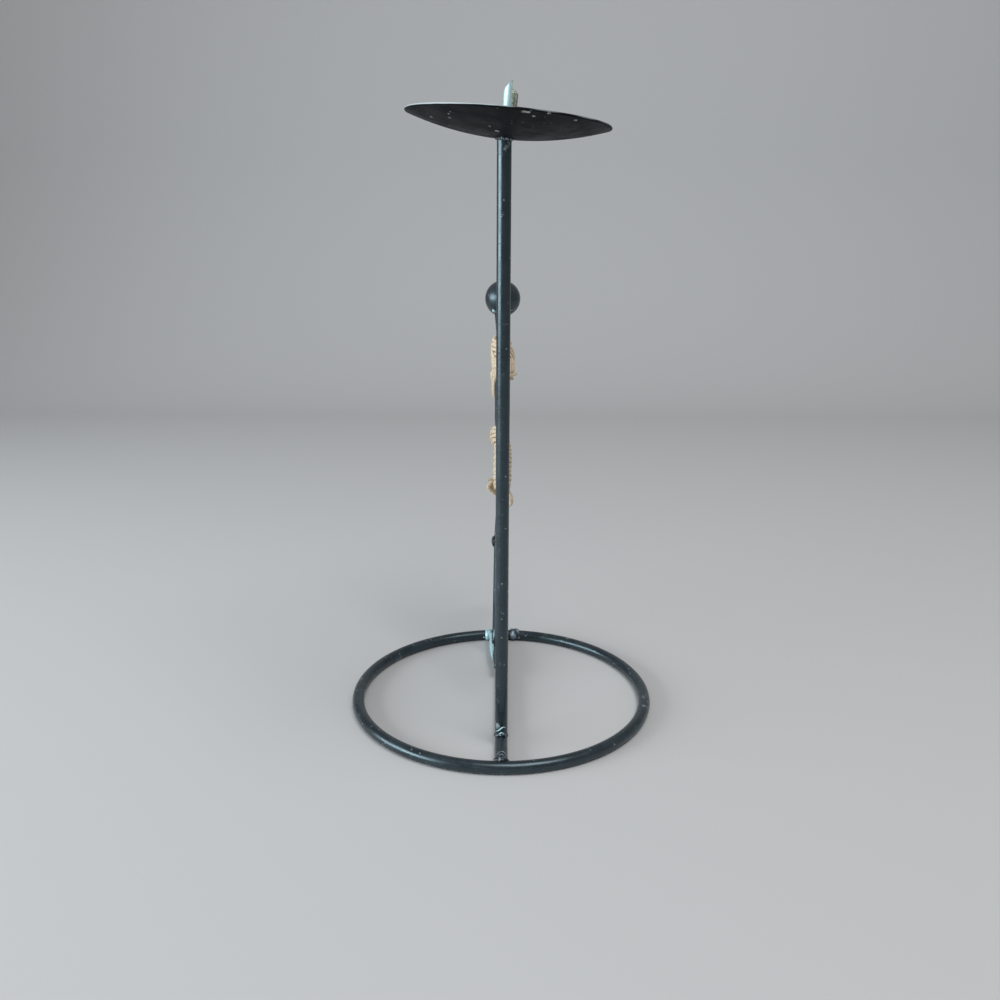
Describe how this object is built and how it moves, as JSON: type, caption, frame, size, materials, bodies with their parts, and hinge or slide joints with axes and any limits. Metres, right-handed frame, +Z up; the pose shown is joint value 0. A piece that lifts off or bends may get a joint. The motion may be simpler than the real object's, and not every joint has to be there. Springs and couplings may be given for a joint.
{
  "type": "pricket candle stand",
  "caption": "Single candle stand of welded black rod: ring base, upright with a tilted drip pan and spike, and a cord-wrapped dancing stick figure behind it.",
  "frame": {"origin": "centre of the base ring, on the floor", "axes": "+Z up along the upright, +X to the right seen from the front, +Y to the back, from the upright towards the figure"},
  "size_m": [0.13, 0.1698, 0.244],
  "materials": {
    "frame_paint": "satin black paint, worn and chipped at edges, with grey scuffs",
    "pan_paint": "satin black paint with a bare worn rim and wax specks",
    "pin_steel": "bare cut steel, bright on one side and dull with wax residue on the other",
    "weld_metal": "lumpy weld beads, thinly painted, bare in places",
    "head_paint": "satin black ball with a soft highlight",
    "natural_cord": "pale natural fibre cord, cream to tan, matte"
  },
  "bodies": {
    "root": {"base_ring": "frame_paint", "base_crossbar": "frame_paint", "ring_weld_front": "weld_metal", "ring_weld_rear": "weld_metal", "ring_weld_blobs": "weld_metal", "upright": "frame_paint", "upright_foot_weld": "weld_metal", "drip_pan": "pan_paint", "pan_weld": "weld_metal", "pricket_pin": "pin_steel", "pin_weld": "weld_metal", "front_leg_rod": "frame_paint", "rear_leg_rod": "frame_paint", "back_weld": "weld_metal", "support_strut": "frame_paint", "strut_knee_weld": "weld_metal", "strut_foot_weld": "weld_metal", "neck_wire_left": "frame_paint", "neck_wire_right": "frame_paint", "head_ball": "head_paint", "head_welds": "weld_metal", "chest_cord": "natural_cord", "chest_tie": "natural_cord", "chest_brush": "natural_cord", "hip_cord": "natural_cord", "hem_flap": "natural_cord", "hem_end": "natural_cord"}
  },
  "joints": []
}
